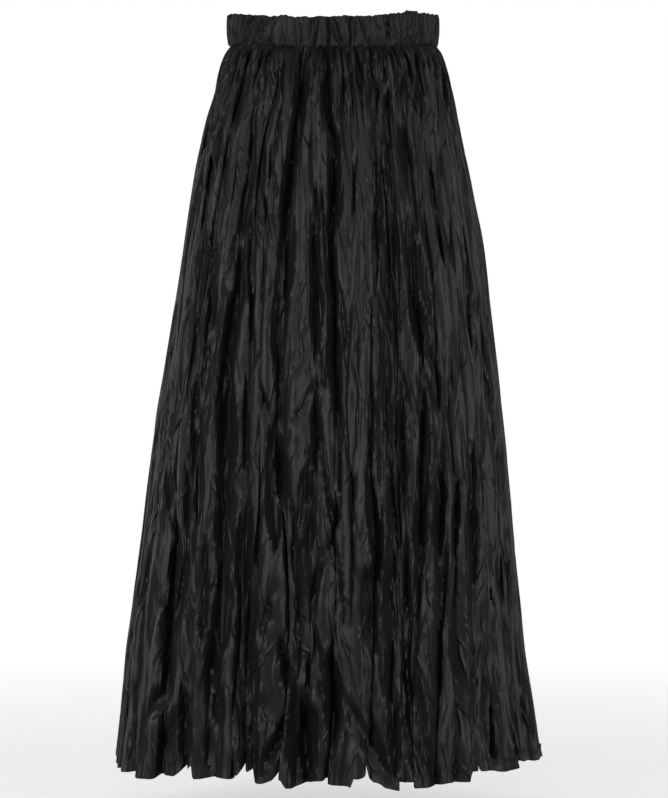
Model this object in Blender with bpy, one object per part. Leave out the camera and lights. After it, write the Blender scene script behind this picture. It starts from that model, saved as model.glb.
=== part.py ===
"""Maxi skirt: a long satin skirt with a gathered elastic waistband.

The skirt stands open and round, as it does when it is worn. It has three pieces: a
waistband casing, a front panel and a back panel, joined at the two side seams.

Frame: metres, +Z up. The origin is the centre of the waistband, halfway up its sides.
The front faces -Y and the wearer's right side is at -X.
"""

import math
from collections import namedtuple

import bmesh
import bpy
from mathutils import Vector

# Driving dimensions
BAND_HALF_WIDTH = 0.1275
BAND_HALF_DEPTH = 0.0985
BAND_HEIGHT = 0.035
BAND_WALL = 0.0032
BAND_PUFF = 0.0035
FRONT_DIP = 0.013
HEM_DROP = 0.912
CLOTH_WALL = 0.0015
SEAM_GAP = 0.0003
SEAM_RISE = 0.0075

# Stitching to the waistband squeezes the gathers to this share of their depth; they
# reach their full depth this far below it
SQUEEZE = 0.45
SQUEEZE_DROP = 0.03

# How sharply the waistband dips towards the middle of the front
DIP_POWER = 1.5

# Waistband rucks: number all round, depth, how unevenly they are spaced and deepened
# (as shares of one ruck, each swinging by its own step of turn from ruck to ruck), and
# how far the top edge rises between them
RUCKS = 56
RUCK_DEPTH = 0.0032
RUCK_DRIFT = 0.30
RUCK_DRIFT_STEP = 2.1
RUCK_SWING = 0.25
RUCK_SWING_STEP = 1.7
SCALLOP = 0.0012

# The columns across one ruck: place in it, and share of its depth
RuckColumn = namedtuple("RuckColumn", "place depth")
RUCK_COLUMNS = (RuckColumn(0.0, 1.0), RuckColumn(0.34, 0.12), RuckColumn(0.68, 0.0))

# The waistband's cross-section, going round it: height as a share of half the band,
# distance out from the band's outline, and share of the ruck's depth
BandPoint = namedtuple("BandPoint", "height out ruck")
BAND_SECTION = (
    BandPoint(-1.0, 0.0, 0.7),
    BandPoint(-0.5, BAND_PUFF, 1.0),
    BandPoint(0.4, BAND_PUFF, 1.0),
    BandPoint(1.0, 0.0008, 0.6),
    BandPoint(1.0, -BAND_WALL, 0.0),
    BandPoint(-1.0, -BAND_WALL, 0.0),
)

# The skirt's outline: half-widths to the wearer's right (-X) and left (+X), and depths
# to the front and the back, at each drop below the waistband's centre
Section = namedtuple("Section", "drop right left front back")
SECTIONS = (
    Section(0.0178, 0.1275, 0.1295, 0.0990, 0.0990),
    Section(0.036, 0.1370, 0.1395, 0.1085, 0.1080),
    Section(0.061, 0.1440, 0.1470, 0.1160, 0.1165),
    Section(0.086, 0.1500, 0.1515, 0.1220, 0.1240),
    Section(0.111, 0.1585, 0.1560, 0.1275, 0.1315),
    Section(0.161, 0.1705, 0.1675, 0.1380, 0.1450),
    Section(0.211, 0.1790, 0.1765, 0.1480, 0.1560),
    Section(0.286, 0.1900, 0.1905, 0.1590, 0.1680),
    Section(0.386, 0.2045, 0.2025, 0.1710, 0.1790),
    Section(0.486, 0.2205, 0.2130, 0.1810, 0.1880),
    Section(0.586, 0.2345, 0.2220, 0.1900, 0.1965),
    Section(0.686, 0.2465, 0.2315, 0.1990, 0.2055),
    Section(0.786, 0.2590, 0.2415, 0.2080, 0.2150),
    Section(0.886, 0.2700, 0.2565, 0.2175, 0.2255),
    Section(0.912, 0.2730, 0.2630, 0.2200, 0.2290),
)

# The panels' folds, one row for each valley from the right seam to the left seam.
# waist..hem: the valley's place at five heights, in hundredths of the panel's girth.
# d_waist..d_hem: its depth there, in millimetres.
# lean: where the crest that follows stands between its two valleys at the hem.
# sink: how far that crest stays below the outline. rise, crest_rise: how far the hem
# edge lifts at the valley and at that crest, in millimetres.
Fold = namedtuple(
    "Fold",
    "waist hip thigh knee hem d_waist d_hip d_thigh d_knee d_hem lean sink rise crest_rise",
)
FOLD_DROPS = (0.021, 0.211, 0.461, 0.711, 0.912)
PLACES = slice(0, 5)
DEPTHS = slice(5, 10)
FRONT_FOLDS = (
    Fold(4.2, 3.8, 3.4, 3.0, 2.4, 4, 5, 5, 6, 5, 0.50, 0, 4, 2),
    Fold(8.4, 7.4, 6.6, 5.6, 4.6, 5, 6, 7, 7, 6, 0.50, 1, 0, -2),
    Fold(12.6, 11.3, 10.1, 8.4, 7.2, 6, 7, 9, 10, 9, 0.60, 0, 0, -5),
    Fold(17.6, 16.0, 14.0, 11.9, 13.1, 6, 8, 9, 9, 11, 0.60, 0, -3, -7),
    Fold(22.6, 20.9, 18.6, 20.9, 21.3, 7, 9, 11, 13, 12, 0.35, 0, 0, 2),
    Fold(27.6, 25.2, 23.6, 28.2, 29.1, 6, 8, 14, 19, 18, 0.22, 0, 18, -1),
    Fold(31.3, 28.9, 29.4, 31.6, 32.2, 6, 8, 16, 15, 12, 0.50, 2, 3, 3),
    Fold(34.3, 32.1, 34.0, 34.7, 35.3, 7, 9, 10, 12, 12, 0.55, 3, 5, 8),
    Fold(37.4, 35.4, 37.2, 37.4, 38.4, 6, 9, 11, 18, 23, 0.22, 0, 16, -4),
    Fold(40.9, 40.0, 40.4, 43.2, 42.8, 9, 16, 17, 12, 13, 0.24, 0, 5, -6),
    Fold(44.2, 45.4, 46.4, 46.6, 46.6, 6, 8, 9, 13, 25, 0.50, 3, 0, 3),
    Fold(47.9, 49.6, 50.6, 50.7, 49.2, 8, 14, 18, 21, 22, 0.45, 2, 5, -1),
    Fold(52.6, 54.6, 53.7, 53.0, 51.8, 6, 9, 8, 8, 9, 0.75, 1, -2, -7),
    Fold(56.6, 58.9, 57.1, 56.4, 54.6, 6, 8, 10, 10, 12, 0.80, 0, 10, -8),
    Fold(60.6, 62.2, 60.3, 59.8, 58.6, 7, 10, 11, 13, 20, 0.50, 5, 17, 0),
    Fold(64.7, 65.3, 63.5, 62.4, 60.8, 6, 8, 10, 10, 12, 0.50, 3, -2, 0),
    Fold(69.2, 68.2, 67.2, 65.0, 63.2, 6, 9, 12, 20, 23, 0.24, 0, 3, -6),
    Fold(72.9, 71.2, 70.8, 68.6, 66.0, 6, 8, 10, 10, 11, 0.50, 1, -4, -4),
    Fold(76.6, 75.1, 74.0, 71.9, 68.9, 6, 9, 9, 12, 12, 0.72, 0, -4, -4),
    Fold(80.2, 79.3, 77.3, 75.8, 72.2, 6, 8, 12, 13, 15, 0.50, 2, 8, 6),
    Fold(84.6, 83.5, 81.4, 79.8, 76.9, 6, 7, 9, 11, 12, 0.55, 1, 7, 4),
    Fold(89.3, 88.0, 86.9, 84.6, 83.1, 5, 7, 11, 16, 16, 0.45, 0, 13, 14),
    Fold(94.2, 93.2, 91.6, 90.6, 88.6, 4, 6, 7, 9, 10, 0.50, 0, 12, 10),
    Fold(97.6, 97.0, 96.4, 95.8, 94.9, 4, 5, 5, 6, 7, 0.50, 0, 9, 8),
)

# The back repeats the front's folds in mirror image, loosened: each place drifts by up
# to BACK_DRIFT hundredths of the girth, and each depth swings by a share of itself
BACK_DRIFT = 1.1
BACK_DRIFT_TURNS = 3
BACK_DEPTH_SWING = 0.22
BACK_DEPTH_STEP = 2.6
BACK_RISE_SHARE = 0.7

# Rows of points down a panel, as shares of its length, and the columns across one fold
ROWS = (0.0, 0.02, 0.05, 0.09, 0.15, 0.23, 0.32, 0.41, 0.50, 0.59, 0.68, 0.77, 0.85, 0.93, 1.0)
SHOULDER = 0.34

SATIN_COLOUR = (0.012, 0.012, 0.014, 1.0)
SATIN_ROUGHNESS = 0.42
CREASE_ANGLE = math.radians(55)
LONGEST_MITRE = 1.5
MILLIMETRE = 0.001
HUNDREDTH = 0.01


def smooth_value(places, values, place):
    """Read a smooth curve through (places, values), held level past its ends."""
    if place <= places[0]:
        return values[0]
    if place >= places[-1]:
        return values[-1]
    last = len(places) - 1
    i = max(k for k in range(last) if places[k] <= place)

    def slope(k):
        before, after = max(k - 1, 0), min(k + 1, last)
        return (values[after] - values[before]) / (places[after] - places[before])

    span = places[i + 1] - places[i]
    u = (place - places[i]) / span
    start = (2 * u**3 - 3 * u**2 + 1) * values[i] + (u**3 - 2 * u**2 + u) * span * slope(i)
    end = (3 * u**2 - 2 * u**3) * values[i + 1] + (u**3 - u**2) * span * slope(i + 1)
    return start + end


def mirrored_folds(folds):
    """Make the back panel's folds: the front's in mirror image, drifted a little."""
    rows = []
    count = len(folds)
    for j in range(count):
        fold = folds[count - 1 - j]
        crest = folds[max(count - 2 - j, 0)]
        depth_share = 1.0 + BACK_DEPTH_SWING * math.sin(BACK_DEPTH_STEP * j)
        turn = math.tau * BACK_DRIFT_TURNS * HUNDREDTH
        places = [1.0 / HUNDREDTH - p + BACK_DRIFT * math.sin(turn * p) for p in fold[PLACES]]
        depths = [depth * depth_share for depth in fold[DEPTHS]]
        rises = [BACK_RISE_SHARE * rise for rise in (fold.rise, crest.crest_rise)]
        rows.append(Fold(*places, *depths, 1.0 - crest.lean, crest.sink, *rises))
    return tuple(rows)


def outline(drop, angle, is_front):
    """Give the outline's point and outward direction; angle runs from -90 to 90 degrees."""
    drops = [section.drop for section in SECTIONS]
    side = "right" if angle < 0.0 else "left"
    face = "front" if is_front else "back"
    half_width = smooth_value(drops, [getattr(row, side) for row in SECTIONS], drop)
    half_depth = smooth_value(drops, [getattr(row, face) for row in SECTIONS], drop)
    x = half_width * math.sin(angle)
    y = -half_depth * math.cos(angle)
    outward = Vector((half_depth * math.sin(angle), -half_width * math.cos(angle), 0.0))
    if not is_front:
        y = -y
        outward.y = -outward.y
    return Vector((x, y, 0.0)), outward.normalized()


def band_centre_height(angle, is_front):
    """Give the height of the waistband's middle line, which dips at the front."""
    return -FRONT_DIP * math.cos(angle) ** DIP_POWER if is_front else 0.0


def fold_columns(folds, drop):
    """List one row's columns from seam to seam: share of the girth, depth, hem rise."""
    toward_hem = drop / HEM_DROP
    below_band = min((drop - SECTIONS[0].drop) / SQUEEZE_DROP, 1.0)
    scale = MILLIMETRE * (SQUEEZE + (1.0 - SQUEEZE) * below_band)
    valleys = []
    for fold in folds:
        place = smooth_value(FOLD_DROPS, fold[PLACES], drop)
        depth = smooth_value(FOLD_DROPS, fold[DEPTHS], drop)
        valleys.append((place * HUNDREDTH, depth * scale, fold.rise * MILLIMETRE))
    crests = [(0.0, 0.0, SEAM_RISE)]
    for k in range(len(folds) - 1):
        lean = 0.5 + (folds[k].lean - 0.5) * toward_hem
        share = valleys[k][0] + (valleys[k + 1][0] - valleys[k][0]) * lean
        crests.append((share, folds[k].sink * scale, folds[k].crest_rise * MILLIMETRE))
    crests.append((1.0, 0.0, SEAM_RISE))

    columns = [crests[0]]
    for valley, before, after in zip(valleys, crests, crests[1:]):
        columns.append(shoulder_between(valley, before))
        columns.append(valley)
        columns.append(shoulder_between(valley, after))
        columns.append(after)
    return columns


def shoulder_between(valley, crest):
    """Give the point where a fold's side rounds over from its sharp valley to its crest."""
    fall = (1.0 - SHOULDER) ** 2
    share = valley[0] + (crest[0] - valley[0]) * SHOULDER
    return (share, *(c + (v - c) * fall for v, c in zip(valley[1:], crest[1:])))


def panel_outer_rows(folds, is_front):
    """Work out the outer face of a panel as rows of points, top to hem."""
    first_drop = SECTIONS[0].drop
    rows = []
    for share_down in ROWS:
        drop = first_drop + (HEM_DROP - first_drop) * share_down
        row = []
        for share, depth, rise in fold_columns(folds, drop):
            angle = math.pi * (share - 0.5)
            point, outward = outline(drop, angle, is_front)
            point -= outward * depth
            top = band_centre_height(angle, is_front) - BAND_HEIGHT / 2 - SEAM_GAP
            point.z = top + (rise - HEM_DROP - top) * share_down
            row.append(point)
        half_gap = SEAM_GAP / 2 if is_front else -SEAM_GAP / 2
        row[0].y = -half_gap
        row[-1].y = -half_gap
        rows.append(row)
    return rows


def inner_row(row, wall, inward_turn):
    """Offset a row of points by the wall, square to the cloth, within its own level."""
    inner = []
    last = len(row) - 1
    for i, point in enumerate(row):
        before = row[max(i - 1, 0)]
        after = row[min(i + 1, last)]
        directions = [
            Vector((b.x - a.x, b.y - a.y, 0.0)).normalized()
            for a, b in ((before, point), (point, after)) if a is not b
        ]
        normals = [Vector((-d.y, d.x, 0.0)) * inward_turn for d in directions]
        middle = sum(normals, Vector()).normalized()
        stretch = min(1.0 / max(middle.dot(normals[0]), 1.0 / LONGEST_MITRE), LONGEST_MITRE)
        if i in (0, last):
            middle = Vector((math.copysign(1.0, -point.x), 0.0, 0.0))
            stretch = 1.0
        inner.append(point + middle * wall * stretch)
    return inner


def add_material(name, colour, roughness):
    """Make a plain Principled material."""
    material = bpy.data.materials.new(name)
    material.use_nodes = True
    shader = material.node_tree.nodes["Principled BSDF"]
    shader.inputs["Base Color"].default_value = colour
    shader.inputs["Roughness"].default_value = roughness
    shader.inputs["Metallic"].default_value = 0.0
    return material


def add_object(name, bm, material):
    """Turn a bmesh into a named, smooth-shaded object with its faces pointing out."""
    bmesh.ops.recalc_face_normals(bm, faces=bm.faces)
    mesh = bpy.data.meshes.new(name)
    bm.to_mesh(mesh)
    bm.free()
    mesh.materials.append(material)
    mesh.shade_smooth()
    mesh.set_sharp_from_angle(angle=CREASE_ANGLE)
    piece = bpy.data.objects.new(name, mesh)
    bpy.context.scene.collection.objects.link(piece)
    return piece


def add_grid(bm, rows, wraps=False):
    """Add a grid of faces over rows of vertices, closed round if it wraps."""
    for upper, lower in zip(rows, rows[1:]):
        count = len(upper) if wraps else len(upper) - 1
        for i in range(count):
            j = (i + 1) % len(upper)
            bm.faces.new((upper[i], upper[j], lower[j], lower[i]))


def make_panel(name, folds, is_front, material):
    """Make a folded panel: an outer wall, an inner wall and the four edges between them."""
    outer_points = panel_outer_rows(folds, is_front)
    inward_turn = 1.0 if is_front else -1.0
    inner_points = [inner_row(row, CLOTH_WALL, inward_turn) for row in outer_points]
    bm = bmesh.new()
    outer = [[bm.verts.new(point) for point in row] for row in outer_points]
    inner = [[bm.verts.new(point) for point in row] for row in inner_points]
    add_grid(bm, outer)
    add_grid(bm, inner)
    add_grid(bm, [outer[0], inner[0]])
    add_grid(bm, [outer[-1], inner[-1]])
    for end in (0, -1):
        add_grid(bm, [[row[end] for row in outer], [row[end] for row in inner]])
    return add_object(name, bm, material)


def band_columns():
    """List the waistband's columns: angle round the waist and how deep the ruck is there."""
    def start_of(ruck):
        whole = ruck % RUCKS
        return ruck + RUCK_DRIFT * math.sin(RUCK_DRIFT_STEP * whole)

    columns = []
    for j in range(RUCKS):
        start, end = start_of(j), start_of(j + 1)
        depth = 1.0 - RUCK_SWING + RUCK_SWING * math.sin(RUCK_SWING_STEP * j)
        for column in RUCK_COLUMNS:
            turn = math.tau * (start + (end - start) * column.place) / RUCKS
            columns.append((turn, depth * column.depth))
    return columns


def make_waistband(material):
    """Make the gathered casing as one closed ring with rucks on its outer face."""
    half = BAND_HEIGHT / 2
    columns = band_columns()
    bm = bmesh.new()
    rows = []
    for edge in BAND_SECTION:
        row = []
        for turn, ruck in columns:
            x, y = math.sin(turn), -math.cos(turn)
            outward = Vector((x * BAND_HALF_DEPTH, y * BAND_HALF_WIDTH, 0.0)).normalized()
            point = Vector((x * BAND_HALF_WIDTH, y * BAND_HALF_DEPTH, 0.0))
            point += outward * (edge.out - ruck * RUCK_DEPTH * edge.ruck)
            scallop = SCALLOP * (0.5 - ruck) if edge.height > 0.0 else 0.0
            middle = band_centre_height(math.asin(x), y < 0.0)
            point.z = middle + edge.height * half + scallop
            row.append(bm.verts.new(point))
        rows.append(row)
    add_grid(bm, rows + [rows[0]], wraps=True)
    return add_object("waistband", bm, material)


def main():
    for old in list(bpy.data.objects):
        bpy.data.objects.remove(old, do_unlink=True)
    back_folds = mirrored_folds(FRONT_FOLDS)
    make_waistband(add_material("band_satin", SATIN_COLOUR, SATIN_ROUGHNESS))
    make_panel("front_panel", FRONT_FOLDS, True, add_material("front_satin", SATIN_COLOUR, SATIN_ROUGHNESS))
    make_panel("back_panel", back_folds, False, add_material("back_satin", SATIN_COLOUR, SATIN_ROUGHNESS))


main()
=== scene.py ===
import math
from collections import namedtuple

import bpy
import numpy as np
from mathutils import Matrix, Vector


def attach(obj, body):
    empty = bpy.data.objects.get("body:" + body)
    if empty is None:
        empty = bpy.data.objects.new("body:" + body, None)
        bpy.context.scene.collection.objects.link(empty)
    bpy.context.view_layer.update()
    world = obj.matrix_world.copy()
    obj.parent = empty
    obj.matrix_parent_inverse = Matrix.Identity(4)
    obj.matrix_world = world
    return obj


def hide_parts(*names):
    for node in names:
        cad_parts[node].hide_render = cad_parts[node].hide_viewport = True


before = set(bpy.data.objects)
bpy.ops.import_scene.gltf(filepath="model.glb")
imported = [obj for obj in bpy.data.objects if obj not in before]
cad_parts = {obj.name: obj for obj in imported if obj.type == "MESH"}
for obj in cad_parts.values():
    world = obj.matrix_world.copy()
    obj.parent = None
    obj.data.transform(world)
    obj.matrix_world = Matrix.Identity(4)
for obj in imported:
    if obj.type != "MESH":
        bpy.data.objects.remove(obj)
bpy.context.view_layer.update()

MM = 0.001

# ---------------------------------------------------------------- sizes shared with the solids
BAND_HALF_WIDTH = 0.1275
BAND_HALF_DEPTH = 0.0985
BAND_HEIGHT = 0.035
FRONT_DIP = 0.013
DIP_POWER = 1.5
HEM_DROP = 0.912
SEAM_GAP = 0.0003
SEAM_RISE = 0.0075

Section = namedtuple("Section", "drop right left front back")
SECTIONS = (
    Section(0.0178, 0.1275, 0.1295, 0.0990, 0.0990),
    Section(0.036, 0.1370, 0.1395, 0.1085, 0.1080),
    Section(0.061, 0.1440, 0.1470, 0.1160, 0.1165),
    Section(0.086, 0.1500, 0.1515, 0.1220, 0.1240),
    Section(0.111, 0.1585, 0.1560, 0.1275, 0.1315),
    Section(0.161, 0.1705, 0.1675, 0.1380, 0.1450),
    Section(0.211, 0.1790, 0.1765, 0.1480, 0.1560),
    Section(0.286, 0.1900, 0.1905, 0.1590, 0.1680),
    Section(0.386, 0.2045, 0.2025, 0.1710, 0.1790),
    Section(0.486, 0.2205, 0.2130, 0.1810, 0.1880),
    Section(0.586, 0.2345, 0.2220, 0.1900, 0.1965),
    Section(0.686, 0.2465, 0.2315, 0.1990, 0.2055),
    Section(0.786, 0.2590, 0.2415, 0.2080, 0.2150),
    Section(0.886, 0.2700, 0.2565, 0.2175, 0.2255),
    Section(0.912, 0.2730, 0.2630, 0.2200, 0.2290),
)

# ---------------------------------------------------------------- camera, as the photo's
CAMERA_DISTANCE = 3.6
CAMERA_SIDE = 0.00125
CAMERA_HEIGHT = -0.460
PICTURE_HEIGHT = 0.9975

# ---------------------------------------------------------------- folds
# One row for each valley, from the wearer's right seam to the left. waist..hem: its place
# in hundredths of the girth. d_waist..d_hem: its depth in millimetres. lean: where the
# next crest stands between its valleys. sink: how far that crest stays in. tuck: how far
# it hangs over a valley at the hem. rise, crest_rise: how far the hem edge lifts.
Fold = namedtuple(
    "Fold",
    "waist hip thigh knee hem d_waist d_hip d_thigh d_knee d_hem lean sink rise crest_rise tuck",
)
FOLD_DROPS = (0.021, 0.211, 0.461, 0.711, 0.912)
FRONT_FOLDS = (
    Fold(4.2, 3.8, 3.4, 3.0, 2.4, 4, 5, 5, 6, 5, 0.50, 0, 4, 2, 0),
    Fold(8.4, 7.4, 6.6, 5.6, 4.6, 5, 6, 7, 7, 6, 0.50, 1, 0, -2, 0),
    Fold(12.6, 11.3, 10.1, 8.4, 7.2, 6, 7, 9, 10, 9, 0.60, 0, 0, -5, 0),
    Fold(17.6, 16.0, 14.0, 11.9, 13.1, 6, 8, 9, 9, 11, 0.60, 0, -3, -7, 4),
    Fold(22.6, 20.9, 18.6, 20.9, 21.3, 7, 9, 11, 13, 12, 0.35, 0, 0, 2, 0),
    Fold(27.6, 25.2, 23.6, 28.2, 29.1, 6, 8, 14, 19, 18, 0.22, 0, 18, -1, -12),
    Fold(31.3, 28.9, 29.4, 31.6, 32.2, 6, 8, 16, 15, 12, 0.50, 2, 3, 3, 0),
    Fold(34.3, 32.1, 34.0, 34.7, 35.3, 7, 9, 10, 12, 12, 0.55, 3, 5, 8, 0),
    Fold(37.4, 35.4, 37.2, 37.4, 38.4, 6, 9, 11, 18, 23, 0.22, 0, 16, -4, -13),
    Fold(40.9, 40.0, 40.4, 43.2, 42.8, 9, 16, 17, 12, 13, 0.24, 0, 5, -6, -8),
    Fold(44.2, 45.4, 46.4, 46.6, 46.6, 6, 8, 9, 13, 25, 0.50, 3, 0, 3, 0),
    Fold(47.9, 49.6, 50.6, 50.7, 49.2, 8, 14, 18, 21, 22, 0.45, 2, 5, -1, -5),
    Fold(52.6, 54.6, 53.7, 53.0, 51.8, 6, 9, 8, 8, 9, 0.75, 1, -2, -7, 8),
    Fold(56.6, 58.9, 57.1, 56.4, 54.6, 6, 8, 10, 10, 12, 0.80, 0, 10, -8, 12),
    Fold(60.6, 62.2, 60.3, 59.8, 58.6, 7, 10, 11, 13, 20, 0.50, 5, 17, 0, 0),
    Fold(64.7, 65.3, 63.5, 62.4, 60.8, 6, 8, 10, 10, 12, 0.50, 3, -2, 0, 0),
    Fold(69.2, 68.2, 67.2, 65.0, 63.2, 6, 9, 12, 20, 23, 0.24, 0, 3, -6, -12),
    Fold(72.9, 71.2, 70.8, 68.6, 66.0, 6, 8, 10, 10, 11, 0.50, 1, -4, -4, 0),
    Fold(76.6, 75.1, 74.0, 71.9, 68.9, 6, 9, 9, 12, 12, 0.72, 0, -4, -4, 9),
    Fold(80.2, 79.3, 77.3, 75.8, 72.2, 6, 8, 12, 13, 15, 0.50, 2, 8, 6, 0),
    Fold(84.6, 83.5, 81.4, 79.8, 76.9, 6, 7, 9, 11, 12, 0.70, 1, 7, 4, 9),
    Fold(89.3, 88.0, 86.9, 84.6, 83.1, 5, 7, 11, 16, 16, 0.45, 0, 13, 14, 0),
    Fold(94.2, 93.2, 91.6, 90.6, 88.6, 4, 6, 7, 9, 10, 0.50, 0, 12, 10, 0),
    Fold(97.6, 97.0, 96.4, 95.8, 94.9, 4, 5, 5, 6, 7, 0.50, 0, 9, 8, 0),
)
PLACES = slice(0, 5)
DEPTHS = slice(5, 10)
# The folds start under the waistband at this share of their depth, and have all of it so
# much lower.
SQUEEZE = 0.45
SQUEEZE_DROP = 0.03
# How the back's folds differ from the front's: their places in hundredths of the girth,
# their depth, and how far their hem rises.
BACK_DRIFT = 1.1
BACK_DRIFT_TURNS = 3
BACK_DEPTH_SWING = 0.22
BACK_DEPTH_STEP = 2.6
BACK_RISE_SHARE = 0.7
# How far a valley's line turns to either side, as a share of the girth, and the length of
# its straight runs.
VALLEY_WANDER = 0.006
VALLEY_RUN = 0.085
# The folds' depth above the hem: the usual share of the solids', and how it swings.
FOLD_SHARE = 0.72
FOLD_SWING = (1.1, 0.5)
FOLD_SWING_RUN = 0.20
# The drops between which the folds pass over to the solids' own places and depths.
HEM_ZONE = (0.80, 0.89)
# How far a crest's line turns between its valleys, and the length of its straight runs.
CREST_WANDER = 0.25
CREST_RUN = 0.18
# The flat floor of a valley, as a share of its half: usual, swing and most.
VALLEY_FLOOR = (0.08, 0.20, 0.4)
# The wall beside it: its share of the half, and its share of the depth.
WALL_SHARE = 0.30
WALL_FALL = 0.75
# The small kinks of the hem's edge: height, and how many there are along it.
EDGE_KINK = 0.0022
EDGE_KINKS = 40.0
# How far the cloth runs inside the outline of the solids.
CLOTH_INSET = 0.0012
# Where each panel lies on the pattern of the small creases, so that the two differ.
FRONT_CLOTH_START = 1.37
BACK_CLOTH_START = 3.0
# A panel's width on that pattern, at the waist and at the hem.
PATTERN_WAIST = 0.74
PATTERN_HEM = 1.02
HEM_TURN = 0.014
# How much higher the front hem runs than its folds say: place across, rise, in millimetres.
HEM_LIFTS = (
    (-200, 0), (-180, 14), (-178, 18), (-176, 0),
    (-118, 0), (-109, 13), (-100, 18), (-98, 0),
    (-76, 0), (-66, 9), (-60, 0),
    (24, 0), (26, 12), (42, 17), (43, -4), (51, -5), (58, 0),
    (172, 0), (174, 12), (182, 12), (184, 0),
)

# The mesh: edges that turn by more than the crease angle, in degrees, are sharp.
PANEL_COLUMNS = 444
PANEL_ROWS = 218
FEWEST_COLUMNS_A_FOLD = 8
CREASE_ANGLE = 22.0


def smooth_values(places, values, query):
    """Read smooth curves through (places, values), as the solids do, at many places."""
    places = np.asarray(places, float)
    values = np.asarray(values, float)
    last = len(places) - 1
    at = np.clip(query, places[0], places[-1])
    i = np.clip(np.searchsorted(places, at, side="right") - 1, 0, last - 1)
    before = np.maximum(np.arange(last + 1) - 1, 0)
    after = np.minimum(np.arange(last + 1) + 1, last)
    slope = (values[..., after] - values[..., before]) / (places[after] - places[before])
    span = places[i + 1] - places[i]
    u = (at - places[i]) / span
    start = (2 * u**3 - 3 * u**2 + 1) * values[..., i]
    start = start + (u**3 - 2 * u**2 + u) * span * slope[..., i]
    end = (3 * u**2 - 2 * u**3) * values[..., i + 1]
    end = end + (u**3 - u**2) * span * slope[..., i + 1]
    return start + end


def ramp(low, high, value):
    """Rise smoothly from 0 at low to 1 at high."""
    u = np.clip((value - low) / (high - low), 0.0, 1.0)
    return u * u * (3.0 - 2.0 * u)

# Large odd numbers that scatter the numbers of neighbouring cells.
SCATTER_X = 374761393
SCATTER_Y = 668265263
SCATTER_SEED = 1442695041
SCATTER_WHICH = 97531
SCATTER_KEY = 1274126177
KEY_BITS = 0x7FFFFFFFFFFF


def noise(x, y, seed):
    """Give smooth gradient noise, about -1 to 1, the same on every run."""
    xi, yi = np.floor(x).astype(np.int64), np.floor(y).astype(np.int64)
    xf, yf = x - xi, y - yi

    def corner(dx, dy):
        key = (xi + dx) * SCATTER_X + (yi + dy) * SCATTER_Y + seed * SCATTER_SEED
        key = (key ^ (key >> 13)) * SCATTER_KEY
        key = (key ^ (key >> 16)) & 0xFFFF
        angle = key * (math.tau / 65536.0)
        return np.cos(angle) * (xf - dx) + np.sin(angle) * (yf - dy)

    sx = xf**3 * (xf * (xf * 6 - 15) + 10)
    sy = yf**3 * (yf * (yf * 6 - 15) + 10)
    top = corner(0, 0) * (1 - sx) + corner(1, 0) * sx
    bottom = corner(0, 1) * (1 - sx) + corner(1, 1) * sx
    return 1.5 * (top * (1 - sy) + bottom * sy)


def chance(i, j, seed, which):
    """Give a number from 0 to 1 for each cell, the same on every run."""
    key = i * SCATTER_X + j * SCATTER_Y + seed * SCATTER_SEED + which * SCATTER_WHICH
    key = key & KEY_BITS
    key = (key ^ (key >> 13)) * SCATTER_KEY & KEY_BITS
    key = (key ^ (key >> 15)) * SCATTER_Y & KEY_BITS
    return ((key ^ (key >> 16)) & 0xFFFF) / 65535.0


def kinks(down, lines, run, seed):
    """Give each line's broken straight course, -1 to 1: a turn after every run."""
    shift = chance(lines, lines * 0, seed, 0)
    at = down[None, :] / run + shift[:, None]
    knot = np.floor(at).astype(np.int64)
    line = np.broadcast_to(lines[:, None], at.shape)
    ends = [2.0 * chance(line, knot + k, seed, 1) - 1.0 for k in (0, 1)]
    return ends[0] + (ends[1] - ends[0]) * (at - knot)


def mirrored_folds(folds):
    """Make the back's folds: the front's in mirror image, loosened a little."""
    rows = []
    count = len(folds)
    for j in range(count):
        fold = folds[count - 1 - j]
        crest = folds[max(count - 2 - j, 0)]
        depth_share = 1.0 + BACK_DEPTH_SWING * math.sin(BACK_DEPTH_STEP * j)
        turn = math.tau * BACK_DRIFT_TURNS * 0.01
        places = [100.0 - p + BACK_DRIFT * math.sin(turn * p) for p in fold[PLACES]]
        depths = [depth * depth_share for depth in fold[DEPTHS]]
        rises = [BACK_RISE_SHARE * rise for rise in (fold.rise, crest.crest_rise)]
        rows.append(Fold(*places, *depths, 1.0 - crest.lean, crest.sink, *rises, -crest.tuck))
    return tuple(rows)


def fold_coordinates(folds):
    """Share the columns out among the folds: the fold and the place in it of each column."""
    edges = np.array([0.0] + [np.mean(f[PLACES]) for f in folds] + [100.0])
    widths = np.diff(edges)
    spare = PANEL_COLUMNS - FEWEST_COLUMNS_A_FOLD * len(widths)
    counts = FEWEST_COLUMNS_A_FOLD + np.floor(spare * widths / widths.sum()).astype(int)
    fold = np.concatenate([np.full(n, k) for k, n in enumerate(counts)] + [[len(widths) - 1]])
    place = np.concatenate([np.arange(n) / n for n in counts] + [[1.0]])
    return fold, place


def valley_lines(folds, drop, scale, seed):
    """Give each valley's place in the girth and depth, with the side seams at both ends."""
    every = np.arange(len(folds))
    near_hem = ramp(*HEM_ZONE, drop)
    wander = VALLEY_WANDER * kinks(drop, every, VALLEY_RUN, seed)
    places = smooth_values(FOLD_DROPS, [f[PLACES] for f in folds], drop) * 0.01
    places = places + wander * ramp(0.03, 0.15, drop) * (1.0 - near_hem)
    usual, swing = FOLD_SWING
    swing = np.maximum(usual + swing * kinks(drop, every, FOLD_SWING_RUN, seed + 1), 0.1)
    depths = smooth_values(FOLD_DROPS, [f[DEPTHS] for f in folds], drop) * scale
    depths = depths * (FOLD_SHARE * swing + (1.0 - FOLD_SHARE * swing) * near_hem)
    seam = np.zeros((1, len(drop)))
    return np.vstack([seam, places, seam + 1.0]), np.vstack([seam, depths, seam])


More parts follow.
